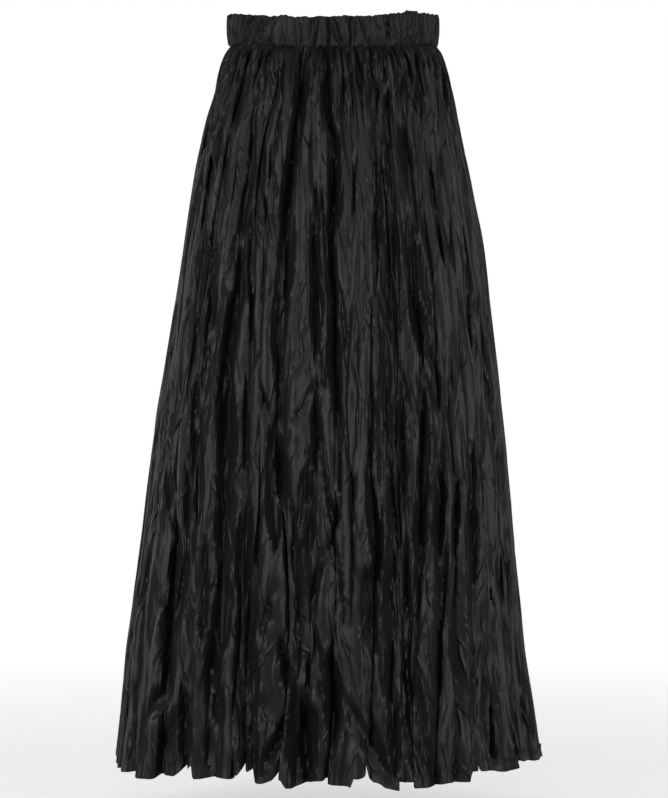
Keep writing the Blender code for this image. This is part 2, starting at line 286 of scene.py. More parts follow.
def crest_places(folds, drop, seed):
    """Give where each crest stands between its two valleys, from 0 to 1."""
    lean = np.array([0.0] + [f.lean for f in folds[:-1]] + [1.0])[:, None]
    free = (lean > 0.0) & (lean < 1.0)
    lean = np.where(free, 0.5 + (lean - 0.5) * (drop / HEM_DROP), lean)
    wander = CREST_WANDER * kinks(drop, np.arange(len(folds) + 1), CREST_RUN, seed + 4)
    lean = np.where(free, np.clip(lean + wander, 0.12, 0.88), lean)
    return np.clip(lean, 1e-4, 1.0 - 1e-4)


def valley_floors(folds, drop, seed):
    """Give the share of each valley's half that lies flat at its bottom."""
    usual, swing, most = VALLEY_FLOOR
    turns = kinks(drop, np.arange(len(folds) + 1), CREST_RUN, seed + 2)
    return np.clip(usual + swing * turns, 0.0, most)


def with_seams(values):
    """Give a column of the valleys' or crests' rises in metres, with the seams' at both ends."""
    return np.array([SEAM_RISE] + [value * MM for value in values] + [SEAM_RISE])[:, None]


def panel_shape(folds, seed):
    """Work out the folded cloth: share of girth, depth, sideways tuck and hem rise."""
    drop = np.linspace(SECTIONS[0].drop, HEM_DROP, PANEL_ROWS)
    scale = MM * (SQUEEZE + (1.0 - SQUEEZE) * np.minimum((drop - drop[0]) / SQUEEZE_DROP, 1.0))
    places, depths = valley_lines(folds, drop, scale, seed)
    rises = with_seams([f.rise for f in folds])
    crest_rises = with_seams([f.crest_rise for f in folds[:-1]])
    sinks = np.array([0.0] + [f.sink for f in folds[:-1]] + [0.0])[:, None] * scale
    tucks = np.array([0.0] + [f.tuck * MM for f in folds[:-1]] + [0.0])[:, None]
    floors = valley_floors(folds, drop, seed)

    fold, u = fold_coordinates(folds)
    u = u[:, None]
    lean = crest_places(folds, drop, seed)[fold]
    share = places[fold] + (places[fold + 1] - places[fold]) * u
    on_left = u < lean
    reach = np.where(on_left, u / lean, (1.0 - u) / (1.0 - lean))
    floor = np.where(on_left, floors[fold], floors[np.minimum(fold + 1, len(folds))])
    wall = np.clip((reach - floor) / WALL_SHARE, 0.0, 1.0)
    facet = np.clip((reach - floor) / (1.0 - floor), 0.0, 1.0)
    fall = 1.0 - WALL_FALL * wall - (1.0 - WALL_FALL) * facet

    valley = np.where(on_left, depths[fold], depths[fold + 1])
    depth = sinks[fold] + (valley - sinks[fold]) * fall
    valley_rise = np.where(on_left, rises[fold], rises[fold + 1])
    rise = crest_rises[fold] + (valley_rise - crest_rises[fold]) * fall
    edge = kinks(share[:, -1] * EDGE_KINKS, np.array([seed]), 1.0, seed + 9)[0]
    rise = rise + EDGE_KINK * edge[:, None]
    shift = tucks[fold] * (1.0 - fall) * ramp(0.45, 0.95, drop / HEM_DROP)
    return drop, share, depth, shift, rise


# ---------------------------------------------------------------- main creases
# A main crease's cross-section: its whole width and depth against the table's, how far its
# line turns against its width, how much it grows toward the hem, and how far its ends run on.
TROUGH_SPREAD = 2.05
TROUGH_DEEP = 1.3
TROUGH_KINK = 0.22
TROUGH_GROW = 0.5
TROUGH_TIP = 0.30
# How far the back's main creases are moved across and down, in millimetres.
BACK_TROUGH_DRIFT = (16.0, 34.0)

# The main creases, listed one by one: where each begins and ends, in millimetres toward the
# wearer's left and below the band's middle, as the camera sees them on the skirt's middle
# plane, with its width and depth.
Trough = namedtuple("Trough", "x drop end_x end_drop width depth")
TROUGHS = tuple(Trough(*row) for row in (
    (-101, 30, -121, 118, 8, 6),
    (-36, 31, -42, 118, 9, 10),
    (-44, 101, -61, 261, 10, 12),
    (-5, 46, -8, 118, 9, 7),
    (-5, 109, 5, 171, 10, 10),
    (4, 149, -2, 261, 11, 15),
    (11, 44, 11, 104, 4, 6),
    (44, 34, 45, 89, 5, 7),
    (56, 36, 54, 95, 4, 6),
    (69, 69, 64, 126, 5, 6),
    (84, 34, 89, 124, 6, 7),
    (88, 109, 102, 234, 8, 8),
    (101, 21, 109, 101, 4, 4),
    (134, 36, 141, 104, 6, 6),
    (50, 99, 54, 201, 5, 6),
    (70, 109, 72, 251, 6, 8),
    (60, 168, 64, 259, 6, 7),
    (-99, 101, -102, 168, 6, 6),
    (-101, 159, -116, 251, 8, 7),
    (-61, 84, -70, 151, 4, 4),
    (-76, 159, -70, 246, 5, 6),
    (-88, 149, -89, 196, 5, 5),
    (-86, 184, -82, 256, 4, 5),
    (-149, 171, -160, 256, 8, 7),
    (-119, 116, -134, 171, 4, 5),
    (-136, 121, -148, 201, 4, 4),
    (-20, 201, -19, 259, 5, 5),
    (-14, 209, -4, 314, 4, 6),
    (29, 159, 24, 231, 4, 4),
    (115, 146, 130, 232, 4, 4),
    (128, 228, 135, 289, 5, 8),
    (149, 109, 166, 201, 4, 3),
    (-145, 256, -150, 316, 6, 7),
    (-150, 301, -160, 396, 10, 10),
    (-162, 276, -175, 396, 8, 8),
    (-116, 241, -130, 296, 4, 6),
    (-114, 286, -121, 364, 8, 8),
    (-121, 334, -139, 451, 11, 10),
    (-104, 239, -101, 341, 8, 9),
    (-102, 334, -99, 396, 4, 6),
    (-62, 239, -68, 336, 6, 8),
    (-68, 326, -69, 449, 8, 9),
    (-51, 246, -58, 341, 8, 8),
    (-24, 251, -20, 399, 9, 9),
    (-1, 254, 0, 380, 11, 17),
    (2, 364, 5, 461, 12, 18),
    (10, 331, 15, 399, 5, 6),
    (12, 399, 41, 466, 4, 6),
    (54, 239, 54, 339, 6, 6),
    (66, 239, 74, 455, 15, 11),
    (96, 239, 100, 326, 8, 8),
    (99, 314, 114, 416, 10, 9),
    (114, 396, 130, 466, 11, 8),
    (109, 276, 121, 379, 5, 6),
    (94, 334, 102, 396, 2, 4),
    (141, 381, 149, 454, 2, 4),
    (162, 256, 174, 341, 5, 5),
    (176, 331, 184, 399, 5, 6),
    (-28, 390, -51, 429, 4, 7),
    (-19, 399, -12, 441, 5, 6),
    (24, 376, 34, 446, 2, 3),
    (44, 334, 36, 399, 2, 4),
    (81, 419, 95, 469, 8, 9),
    (-169, 446, -172, 554, 9, 12),
    (-171, 534, -166, 604, 6, 9),
    (-179, 439, -181, 554, 4, 6),
    (-181, 544, -180, 649, 4, 7),
    (-130, 439, -132, 566, 14, 12),
    (-134, 546, -134, 669, 12, 11),
    (-108, 456, -109, 566, 5, 6),
    (-89, 444, -78, 496, 5, 8),
    (-71, 491, -78, 554, 8, 8),
    (-72, 509, -62, 594, 11, 13),
    (-81, 544, -74, 629, 9, 9),
    (-61, 549, -59, 619, 4, 6),
    (-14, 429, -46, 486, 5, 9),
    (-19, 456, -41, 495, 4, 7),
    (-22, 471, -20, 529, 9, 8),
    (-32, 526, -20, 549, 6, 5),
    (-31, 546, -36, 616, 8, 7),
    (-38, 601, -30, 641, 9, 8),
    (-16, 496, -5, 594, 4, 9),
    (-6, 589, 5, 626, 4, 7),
    (6, 584, 2, 641, 5, 7),
    (4, 441, 10, 504, 8, 15),
    (10, 506, 11, 596, 2, 5),
    (15, 509, 29, 609, 2, 5),
    (49, 459, 45, 554, 6, 8),
    (62, 459, 60, 594, 10, 10),
    (75, 439, 78, 569, 6, 10),
    (86, 459, 88, 594, 8, 10),
    (46, 559, 56, 669, 8, 9),
    (115, 459, 112, 594, 8, 8),
    (134, 446, 138, 554, 6, 8),
    (135, 541, 130, 649, 8, 8),
    (112, 581, 110, 671, 10, 12),
    (172, 544, 174, 669, 5, 8),
    (156, 569, 151, 649, 4, 6),
    (192, 439, 201, 539, 4, 6),
    (205, 531, 209, 669, 8, 8),
    (-206, 496, -212, 544, 5, 5),
    (-201, 521, -204, 594, 4, 5),
    (-108, 601, -109, 719, 9, 13),
    (-104, 696, -105, 842, 9, 15),
    (-52, 606, -48, 719, 8, 10),
    (-46, 689, -45, 769, 9, 9),
    (-44, 659, -28, 729, 2, 7),
    (4, 634, -15, 666, 4, 7),
    (-14, 656, -26, 716, 4, 6),
    (8, 656, 12, 744, 2, 5),
    (41, 694, 48, 769, 8, 9),
    (54, 656, 49, 719, 6, 8),
    (74, 656, 78, 769, 11, 13),
    (75, 746, 76, 844, 10, 14),
    (65, 759, 61, 831, 4, 7),
    (110, 656, 104, 744, 8, 11),
    (101, 731, 95, 834, 8, 14),
    (140, 651, 131, 769, 5, 8),
    (131, 756, 131, 831, 4, 7),
    (208, 656, 216, 769, 8, 9),
    (215, 739, 231, 871, 10, 10),
    (-160, 651, -162, 744, 5, 9),
    (-150, 656, -152, 719, 2, 5),
    (-194, 631, -201, 719, 5, 7),
    (-182, 656, -198, 744, 6, 8),
    (-201, 706, -210, 794, 6, 8),
    (-206, 761, -202, 831, 5, 8),
    (-135, 681, -139, 769, 9, 8),
    (-144, 756, -152, 844, 9, 10),
    (-116, 731, -121, 834, 5, 8),
    (-78, 709, -95, 766, 4, 6),
    (-64, 771, -52, 829, 6, 9),
    (-36, 781, -25, 816, 5, 7),
    (-19, 761, -12, 829, 4, 6),
    (-4, 771, -6, 839, 6, 9),
    (0, 806, 1, 881, 10, 15),
    (-229, 656, -239, 719, 4, 5),
    (-256, 819, -252, 886, 4, 6),
    (-209, 826, -230, 859, 5, 8),
    (-186, 834, -184, 919, 6, 7),
    (-196, 859, -211, 901, 4, 7),
    (-156, 831, -154, 919, 5, 11),
    (-150, 821, -142, 859, 8, 7),
    (-109, 819, -108, 926, 8, 15),
    (-89, 834, -78, 871, 4, 7),
    (-60, 864, -84, 916, 6, 9),
    (-49, 819, -45, 931, 10, 14),
    (-36, 841, -30, 919, 14, 12),
    (9, 840, 20, 889, 2, 7),
    (15, 839, 66, 924, 8, 13),
    (41, 851, 62, 904, 4, 8),
    (78, 831, 76, 919, 6, 13),
    (99, 856, 105, 921, 6, 10),
    (109, 884, 125, 931, 5, 8),
    (130, 824, 128, 911, 2, 6),
    (189, 819, 192, 891, 4, 7),
    (184, 856, 200, 916, 4, 6),
    (215, 836, 229, 906, 5, 7),
    (229, 844, 254, 899, 8, 9),
    # the long slopes beside the widest valleys
    (51, 149, 60, 382, 7, 7),
    (61, 186, 72, 392, 7, 8),
    (62, 372, 66, 564, 8, 9),
    (74, 384, 77, 562, 8, 9),
    (71, 540, 79, 670, 8, 9),
    (82, 552, 89, 676, 8, 9),
    (80, 649, 86, 784, 7, 9),
    (90, 651, 95, 780, 8, 10),
    (87, 770, 96, 896, 7, 10),
    (97, 780, 106, 900, 7, 9),
    (-137, 442, -138, 600, 7, 9),
    (-127, 450, -128, 612, 6, 8),
    (-103, 700, -100, 925, 7, 12),
    (-169, 449, -165, 574, 7, 8),
    (-49, 660, -43, 800, 8, 11),
    (217, 730, 242, 890, 8, 12),
))
# Sharp ridges near the sides, where the photo has thin bright streaks.
RIDGES = tuple(Trough(*row) for row in (
    (121, 49, 130, 136, 3, 5),
    (137, 109, 152, 199, 3, 6),
    (152, 199, 162, 261, 3, 6),
    (162, 261, 171, 349, 3, 6),
    (171, 349, 182, 524, 3, 6),
    (182, 524, 186, 661, 3, 5),
    (186, 661, 205, 736, 3, 5),
    (205, 736, 205, 836, 3, 5),
    (-118, 36, -131, 60, 3, 5),
    (-135, 109, -166, 167, 3, 6),
    (-156, 105, -166, 161, 3, 6),
    (-166, 167, -179, 230, 3, 6),
    (-179, 230, -197, 336, 3, 6),
    (-197, 336, -202, 374, 3, 5),
    (-210, 492, -226, 586, 3, 6),
))
# The crushed surface fades out beside the side seams (share of the girth) and at the top.
SEAM_CALM = (0.0, 0.03)
TOP_CALM = (-0.002, 0.008)


def moved_troughs(troughs, down_share=1.0):
    """Make the back's main creases: like the front's, but moved and changed in depth."""
    rows = []
    for k, trough in enumerate(troughs):
        across = BACK_TROUGH_DRIFT[0] * math.sin(1.7 * k)
        down = down_share * BACK_TROUGH_DRIFT[1] * math.sin(2.3 * k + 1.0)
        depth = trough.depth * (0.85 + 0.3 * math.sin(3.1 * k))
        rows.append(Trough(
            trough.x + across, trough.drop + down, trough.end_x + 0.7 * across,
            trough.end_drop + down, trough.width, depth,
        ))
    return rows


def seen_places(points, is_front):
    """Find where the camera, or one like it behind, sees the points on the middle plane."""
    face = np.where(is_front, 1.0, -1.0)
    nearer = CAMERA_DISTANCE / (CAMERA_DISTANCE + face * points[..., 1])
    x = CAMERA_SIDE + (face * points[..., 0] - CAMERA_SIDE) * nearer
    drop = -CAMERA_HEIGHT - (points[..., 2] - CAMERA_HEIGHT) * nearer
    return x / MM, drop / MM


def trough_depths(points, rows, is_front, seed):
    """Give how deep the main creases are pressed in at each point, in metres."""
    x, drop = seen_places(points, is_front)
    pressed = np.zeros(x.shape)
    for k, row in enumerate(rows):
        run = np.array([row.end_x - row.x, row.end_drop - row.drop])
        length = np.hypot(*run)
        run = run / length
        place = ((x - row.x) * run[0] + (drop - row.drop) * run[1]) / length
        across = (x - row.x) * run[1] - (drop - row.drop) * run[0]
        grow = 1.0 + TROUGH_GROW * ramp(450.0, 650.0, row.drop)
        width = grow * row.width
        near = (np.abs(place - 0.5) < 0.5 + TROUGH_TIP) & (np.abs(across) < 2.0 * width)
        place, across = place[near], across[near]
        across = across - TROUGH_KINK * width * kinks(place, np.array([k]), 0.22, seed)[0]
        taper = 1.0 - ((place - 0.5) / (0.5 + TROUGH_TIP)) ** 2
        low, high = 0.9 + 0.7 * chance(np.int64(k), np.int64(0), seed, np.arange(2))
        slope = np.where(across < 0.0, low, high)
        half = 0.5 * TROUGH_SPREAD * width * taper
        deepest = TROUGH_DEEP * grow * row.depth * taper
        depth = np.minimum(slope * (half - np.abs(across)), deepest)
        pressed[near] = np.maximum(pressed[near], depth)
    return pressed * MM


# ---------------------------------------------------------------- small creases
# Crushed cloth is a field of leaf-shaped tents: flat facets that meet in sharp creases.
# slant: how far a leaf's length runs across for each metre down. width, length: its usual
# size in millimetres. slope: its sides' steepness. tilt: how far single leaves turn.
# share: how much of its height is added.
Leaves = namedtuple("Leaves", "slant width length slope tilt share seed")
UPRIGHT_LEAVES = (
    Leaves(0.0, 50.0, 190.0, 0.28, 0.13, 1.0, 1),
    Leaves(0.0, 24.0, 100.0, 0.22, 0.20, 0.45, 2),
)
GATHER_LEAVES = Leaves(0.0, 10.0, 52.0, 1.05, 0.10, 1.0, 5)
CRUMPLED_LEAVES = (
    Leaves(0.8, 38.0, 95.0, 0.09, 0.30, 0.7, 3),
    Leaves(-0.9, 30.0, 75.0, 0.08, 0.30, 0.5, 4),
)
HEM_LEAVES = (
    Leaves(0.55, 30.0, 80.0, 0.06, 0.35, 1.0, 6),
    Leaves(-0.6, 34.0, 90.0, 0.06, 0.35, 1.0, 7),
)
# The drops over which the hem's own small creases come in.
HEM_CRUSH = (0.78, 0.88)


def tents(x, z, leaves):
    """Give the height of the highest of many leaf-shaped tents at each point of the cloth."""
    x, z = x + leaves.slant * z, z - leaves.slant * x
    stretch = math.hypot(1.0, leaves.slant)
    width, length = leaves.width * MM * stretch, leaves.length * MM * stretch
    column, row = np.floor(x / width).astype(np.int64), np.floor(z / length).astype(np.int64)
    best = np.full(x.shape, -1.0)
    for i in (column - 2, column - 1, column, column + 1, column + 2):
        for j in (row - 1, row, row + 1):
            low, off, size, turn, side, top, bend = (chance(i, j, leaves.seed, k) for k in range(7))
            down = z - (j + 0.05 + 0.9 * low) * length
            along = down / (length * (0.5 + 0.5 * size))
            lean = leaves.tilt * (2.0 * turn - 1.0)
            across = x - (i + 0.1 + 0.8 * off) * width - lean * down
            across = across - 0.25 * width * (2.0 * bend - 1.0) * np.abs(along)
            steep = leaves.slope * (0.55 + 0.9 * np.where(across < 0.0, side, 1.0 - side))
            height = 0.5 * width * leaves.slope * (0.5 + 0.9 * top) * (1.0 - along * along)
            best = np.maximum(best, height - steep * np.abs(across))
    return best / stretch


def crinkle(x, z):
    """Give the crushed cloth's height in metres: x across the cloth, z down it."""
    large, small = UPRIGHT_LEAVES
    warp = x + 0.0012 * noise(x / 0.06, z / 0.08, 11)
    fine = ramp(-0.1, 0.5, noise(x / 0.06, z / 0.10, 52))
    upright = tents(warp, z, large) + fine * small.share * tents(warp, z, small)
    upright = upright * (0.35 + 0.65 * ramp(0.02, 0.10, z))
    near_top = 1.0 - ramp(0.05, 0.15, z + 0.03 * noise(x / 0.03, z, 53))
    gathers = tents(x, z, GATHER_LEAVES) * near_top
    crumpled = ramp(0.0, 0.5, noise(x / 0.09, z / 0.12, 51) + 0.7 * ramp(0.30, 0.55, z) - 0.3)
    crumpled = crumpled * (1.0 - 0.5 * ramp(*HEM_CRUSH, z))
    slanting = sum(leaves.share * tents(warp, z, leaves) for leaves in CRUMPLED_LEAVES)
    hem = sum(leaves.share * tents(warp, z, leaves) for leaves in HEM_LEAVES)
    return upright + gathers + slanting * crumpled + hem * ramp(*HEM_CRUSH, z)


# ---------------------------------------------------------------- panels
def outline(drop, share, is_front):
    """Give the outline's points and outward directions in plan."""
    drops = [s.drop for s in SECTIONS]
    sides = {
        name: smooth_values(drops, [getattr(s, name) for s in SECTIONS], drop)
        for name in ("right", "left", "front", "back")
    }
    angle = math.pi * (share - 0.5)
    width = np.where(angle < 0.0, sides["right"], sides["left"])
    depth = np.broadcast_to(sides["front" if is_front else "back"], angle.shape)
    face = -1.0 if is_front else 1.0
    point = np.stack([width * np.sin(angle), face * depth * np.cos(angle)], -1)
    outward = np.stack([depth * np.sin(angle), face * width * np.cos(angle)], -1)
    outward /= np.linalg.norm(outward, axis=-1, keepdims=True)
    return angle, point, outward


def band_middle(angle, is_front):
    """Give the height of the waistband's middle line, which dips at the front."""
    dip = FRONT_DIP * np.maximum(np.cos(angle), 0.0) ** DIP_POWER
    return np.where(is_front, -dip, 0.0)


def lift_hem(points, drop):
    """Raise the front hem where the photo's hem runs higher."""
    seen_x = seen_places(points, True)[0]
    lift = np.interp(seen_x, *zip(*HEM_LIFTS)) * MM
    points[..., 2] += lift * ramp(0.80, 0.90, drop)


def panel_points(folds, is_front, seed):
    """Work out a panel's smooth folds and cloth coordinates: columns across, rows down."""
    drop, share, depth, shift, rise = panel_shape(folds, seed)
    angle, point, outward = outline(drop, share, is_front)
    face = 1.0 if is_front else -1.0
    sideways = np.stack([-outward[..., 1], outward[..., 0]], -1) * face
    plan = point - outward * (depth + CLOTH_INSET)[..., None] + sideways * shift[..., None]
    top = band_middle(angle, is_front) - BAND_HEIGHT / 2 - SEAM_GAP
    share_down = (drop - drop[0]) / (drop[-1] - drop[0])
    height = top + (rise - HEM_DROP - top) * share_down
    points = np.concatenate([plan, height[..., None]], -1)
    points[0, :, 1] = points[-1, :, 1] = 0.0
    if is_front:
        lift_hem(points, drop)
    width = PATTERN_WAIST + (PATTERN_HEM - PATTERN_WAIST) * drop / HEM_DROP
    x = (share - 0.5) * width + (FRONT_CLOTH_START if is_front else BACK_CLOTH_START)
    z = np.broadcast_to(drop, x.shape)
    return points, np.stack([x, -z], -1), outward, share


def surface_normals(points):
    """Give the directions square to a grid of points."""
    across = np.gradient(points, axis=0)
    down = np.gradient(points, axis=1)
    normal = np.cross(across, down)
    return normal / np.maximum(np.linalg.norm(normal, axis=-1, keepdims=True), 1e-9)


def blurred(values, columns, rows):
    """Smooth values over their neighbours along both ways of a grid."""
    for _ in range(columns):
        values[1:-1] = 0.25 * (values[:-2] + values[2:]) + 0.5 * values[1:-1]
    for _ in range(rows):
        values[:, 1:-1] = 0.25 * (values[:, :-2] + values[:, 2:]) + 0.5 * values[:, 1:-1]
    return values


def crushed(points, cloth, outward, share, is_front, seed):
    """Crush the smooth folds: press in the main creases and raise the small ones."""
    x, drop = cloth[..., 0], -cloth[..., 1]
    face = 1.0 if is_front else -1.0
    normal = blurred(surface_normals(points), 2, 2) * -face
    facing = (normal[..., :2] * outward).sum(-1)
    sight = np.abs(outward[..., 1])
    calm = ramp(*SEAM_CALM, np.minimum(share, 1.0 - share)) * ramp(*TOP_CALM, drop - drop[0, 0])

    rows, ridges = (TROUGHS, RIDGES) if is_front else map(moved_troughs, (TROUGHS, RIDGES))
    pressed = trough_depths(points, rows, is_front, seed) * ramp(0.15, 0.6, sight)
    pressed = blurred(pressed, 0, 3)
    pressed = pressed - trough_depths(points, ridges, is_front, seed) * ramp(0.0, 0.3, facing)

    # the small creases are lower at the sides, inside folds, in main creases and at the hem
    raised = crinkle(x, drop) * (0.35 + 0.65 * ramp(0.1, 0.6, sight)) * ramp(-0.2, 0.5, facing)
    raised = raised * (1.0 - 0.7 * ramp(0.0, 4.0 * MM, pressed))
    raised = raised * (1.0 - 0.6 * ramp(0.87, 0.905, drop))

    moved = points + normal * (raised * calm)[..., None]
    moved[..., 1] += pressed * calm * face
    return blurred(moved, 0, 1)


def grid_mesh(name, points, cloth, material):
    """Make a smooth single sheet from a grid of points, with its cloth coordinates as UV."""
    columns, rows = points.shape[:2]
    index = np.arange(columns * rows).reshape(columns, rows)
    quads = np.stack([index[:-1, :-1], index[:-1, 1:], index[1:, 1:], index[1:, :-1]], -1)
    quads = quads.reshape(-1, 4)
    mesh = bpy.data.meshes.new(name)
    mesh.vertices.add(columns * rows)
    mesh.vertices.foreach_set("co", points.astype(np.float32).ravel())
    mesh.loops.add(quads.size)
    mesh.loops.foreach_set("vertex_index", quads.ravel().astype(np.int32))
    mesh.polygons.add(len(quads))
    mesh.polygons.foreach_set("loop_start", np.arange(0, quads.size, 4, dtype=np.int32))
    mesh.update(calc_edges=True)
    layer = mesh.uv_layers.new(name="cloth")
    layer.data.foreach_set("uv", cloth.reshape(-1, 2)[quads.ravel()].astype(np.float32).ravel())
    mesh.shade_smooth()
    mesh.set_sharp_from_angle(angle=math.radians(CREASE_ANGLE))
    mesh.materials.append(material)
    piece = bpy.data.objects.new(name, mesh)
    bpy.context.scene.collection.objects.link(piece)
    return piece


def with_hem(points, cloth, outward):
    """Turn the hem up inside: a few more rows under the lower edge."""
    turn = ((0.0006, -0.0008), (0.0016, -0.0002), (0.0020, 0.003), (0.0018, HEM_TURN))
    extra = []
    extra_cloth = []
    for i, (into, up) in enumerate(turn):
        row = points[:, -1].copy()
        row[:, :2] -= outward[:, -1] * into
        row[:, 2] += up
        extra.append(row)
        extra_cloth.append(cloth[:, -1] - [0.0, (i + 1) * MM])
    points = np.concatenate([points, np.stack(extra, 1)], 1)
    cloth = np.concatenate([cloth, np.stack(extra_cloth, 1)], 1)
    return points, cloth


def make_panel(name, folds, is_front, seed, material):
    """Make the cloth of a panel, with its outer face outward."""
    points, cloth, outward, share = panel_points(folds, is_front, seed)
    points = crushed(points, cloth, outward, share, is_front, seed)
    points, cloth = with_hem(points, cloth, outward)
    if is_front:
        points, cloth = points[::-1], cloth[::-1]
    return grid_mesh(name, points, cloth, material)


# ---------------------------------------------------------------- waistband
BAND_COLUMNS = 900
BAND_ROWS = 60
BAND_GIRTH = 0.74
# The casing's cross-section, from inside the waist over the top to the lower seam: share of
# half the height, millimetres out, share of the rucks.
BAND_PROFILE = (
    (-0.98, -3.0, 0.0), (-0.4, -3.0, 0.0), (0.4, -3.0, 0.1), (0.85, -2.4, 0.4),
    (0.99, -1.2, 0.7), (1.01, 0.6, 0.9), (0.95, 1.8, 1.0), (0.70, 2.3, 1.0),
    (0.35, 2.5, 1.0), (0.0, 2.5, 1.0), (-0.35, 2.3, 1.0), (-0.65, 1.8, 1.0),
    (-0.82, 1.4, 1.0), (-0.92, 1.0, 1.0), (-0.98, 0.6, 0.9), (-1.04, 0.0, 0.8),
)
# The rucks' sizes in metres: large, small, fine ones low on the casing, and the lower edge's.
LARGE_RUCK = 0.016
SMALL_RUCK = 0.007
FINE_RUCK = 0.0045
EDGE_RUCK = 0.0055
# Upright rucks: so much longer than wide that they hardly change down the casing.
UPRIGHT = 9.0
# The casing's creases over the elastic, as the main creases are given.
BAND_CREASES = tuple(Trough(*row) for row in (
    (-96, -20, -112, 22, 6, 4),
    (-86, -19, -99, 16, 4, 3),
    (-80, -12, -94, 14, 3, 2),
    (-70, -20, -76, -6, 4, 2),
    (-50, -19, -47, 16, 3, 2),
    (-41, -6, -40, 20, 3, 2),
    (-25, -20, -28, 18, 4, 3),
    (-19, -12, -23, 20, 3, 3),
    (-6, -20, -5, 18, 4, 4),
    (-2, -16, 10, 18, 5, 4),
    (15, -20, 25, 2, 3, 2),
    (22, -22, 23, 20, 4, 4),
    (28, -14, 26, 20, 3, 3),
    (31, -22, 45, 16, 4, 3),
    (52, -22, 58, -4, 4, 2),
    (71, -22, 68, 16, 5, 4),
    (77, -22, 76, -2, 3, 3),
    (90, -14, 97, 12, 4, 2),
    (98, -24, 104, 10, 4, 3),
    (120, -24, 121, 18, 4, 5),
    (128, -18, 127, 20, 4, 4),
))
# Where the casing's upper edge stands up: place across, half width and height, in
# millimetres.
BAND_BUMPS = ((-120, 13, 1.2), (-60, 6, 1.0), (23, 14, 1.5), (64, 12, 2.0), (94, 18, 6.0))


def band_profile(steps):
    """Read the casing's cross-section at many steps: height, distance out, share of rucks."""
    profile = np.array(BAND_PROFILE)
    return [smooth_values(np.arange(len(profile)), profile[:, i], steps) for i in range(3)]


def ruck(turn, up, size, length, seed):
    """Give how far the casing's cloth is off a ruck's ridge; both ends of the ring meet."""
    x = np.sin(turn)[:, None] * BAND_GIRTH / math.tau + 3.0
    y = -np.cos(turn)[:, None] * BAND_GIRTH / math.tau + 7.0
    return np.abs(noise(x / size, (y + up * size / length) / size, seed))


def band_relief(turn, up, height, flat):
    """Give how far the casing's cloth stands out: rucks over the elastic, less the creases."""
    x = np.sin(turn)
    rucks = 1.0 - 2.2 * ruck(turn, up, LARGE_RUCK, 0.10, 71) - ruck(turn, up, SMALL_RUCK, 0.05, 72)
    fine = ruck(turn, up, FINE_RUCK, 0.03, 73) * (1.0 - ramp(-0.8, -0.2, height))
    puffed_ends = 1.0 + 1.6 * ramp(0.80, 0.98, np.abs(x))[:, None]
    left_end = 2.0 * ramp(0.85, 1.0, x)[:, None]
    pressed = np.where(
        flat[..., 1] < 0.0,
        trough_depths(flat, BAND_CREASES, True, 91),
        trough_depths(flat, moved_troughs(BAND_CREASES, 0.0), False, 92),
    )
    return (1.3 * rucks * puffed_ends - 2.0 * fine + left_end) * MM - pressed


def band_edges(turn, up, height):
    """Give how far the casing's upper edge stands up, less how far the lower edge hangs."""
    x = np.sin(turn)[:, None]
    spot = x * BAND_HALF_WIDTH / MM
    bumps = sum(tall * np.exp(-(((spot - at) / wide) ** 2)) for at, wide, tall in BAND_BUMPS)
    bumps = bumps * np.where(np.cos(turn) > 0.0, 1.0, 0.6)[:, None]
    foot = up[:, :1]
    scallop = 2.4 * (0.35 - ruck(turn, foot, LARGE_RUCK, UPRIGHT, 71)) + bumps
    scallop = scallop + 2.0 * (0.3 - ruck(turn, foot, SMALL_RUCK, UPRIGHT, 72))
    hang = 3.4 * ruck(turn, foot, EDGE_RUCK, UPRIGHT, 74)
    upper = np.clip(height, 0.0, 1.0) ** 2
    lower = np.clip(-height, 0.0, 1.0) ** 4
    return (scallop * upper - hang * lower) * MM


def make_band(material):
    """Make the casing's cloth as one ring."""
    turn = np.linspace(0.0, math.tau, BAND_COLUMNS + 1)
    height, out, share = band_profile(np.linspace(0.0, len(BAND_PROFILE) - 1.0, BAND_ROWS))
    x, y = np.sin(turn), -np.cos(turn)
    up = np.broadcast_to(height * BAND_HEIGHT / 2, (len(turn), BAND_ROWS))
    outward = np.stack([x * BAND_HALF_DEPTH, y * BAND_HALF_WIDTH], -1)
    outward /= np.linalg.norm(outward, axis=-1, keepdims=True)
    base = np.stack([x * BAND_HALF_WIDTH, y * BAND_HALF_DEPTH], -1)[:, None, :]
    middle = band_middle(np.arcsin(np.clip(x, -1, 1)), y < 0.0)[:, None]
    flat = np.concatenate([np.broadcast_to(base, (*up.shape, 2)), (middle + up)[..., None]], -1)

    lift = out * MM + band_relief(turn, up, height, flat) * share
    plan = base + outward[:, None, :] * lift[..., None]
    z = middle + up + band_edges(turn, up, height)
    points = np.concatenate([plan, z[..., None]], -1)
    points[-1] = points[0]
    around = np.broadcast_to((turn / math.tau * BAND_GIRTH)[:, None], up.shape)
    return grid_mesh("waistband_cloth", points, np.stack([around, up], -1), material)


# ---------------------------------------------------------------- materials
SATIN_COLOUR = (0.009, 0.009, 0.0095)
SATIN_ROUGHNESS = 0.45
CASING_COLOUR = (0.008, 0.008, 0.0085)
CASING_ROUGHNESS = 0.53
# Sizes across and along the cloth, in metres: of the changes in colour and in gloss, of the
# places where the thin grooves are, and of the finest crumple.
TINT_SIZE = (0.02, 0.10)
GLOSS_SIZE = (0.004, 0.03)
PATCH_SIZE = (0.04, 0.10)
CRUMPLE_SIZE = (0.0028, 0.016)
CRUMPLE_HEIGHT = 0.0003
# The facets between the mesh's own creases: width, length and height.
FACETS = ((0.016, 0.085, 0.0032), (0.0065, 0.034, 0.0010))
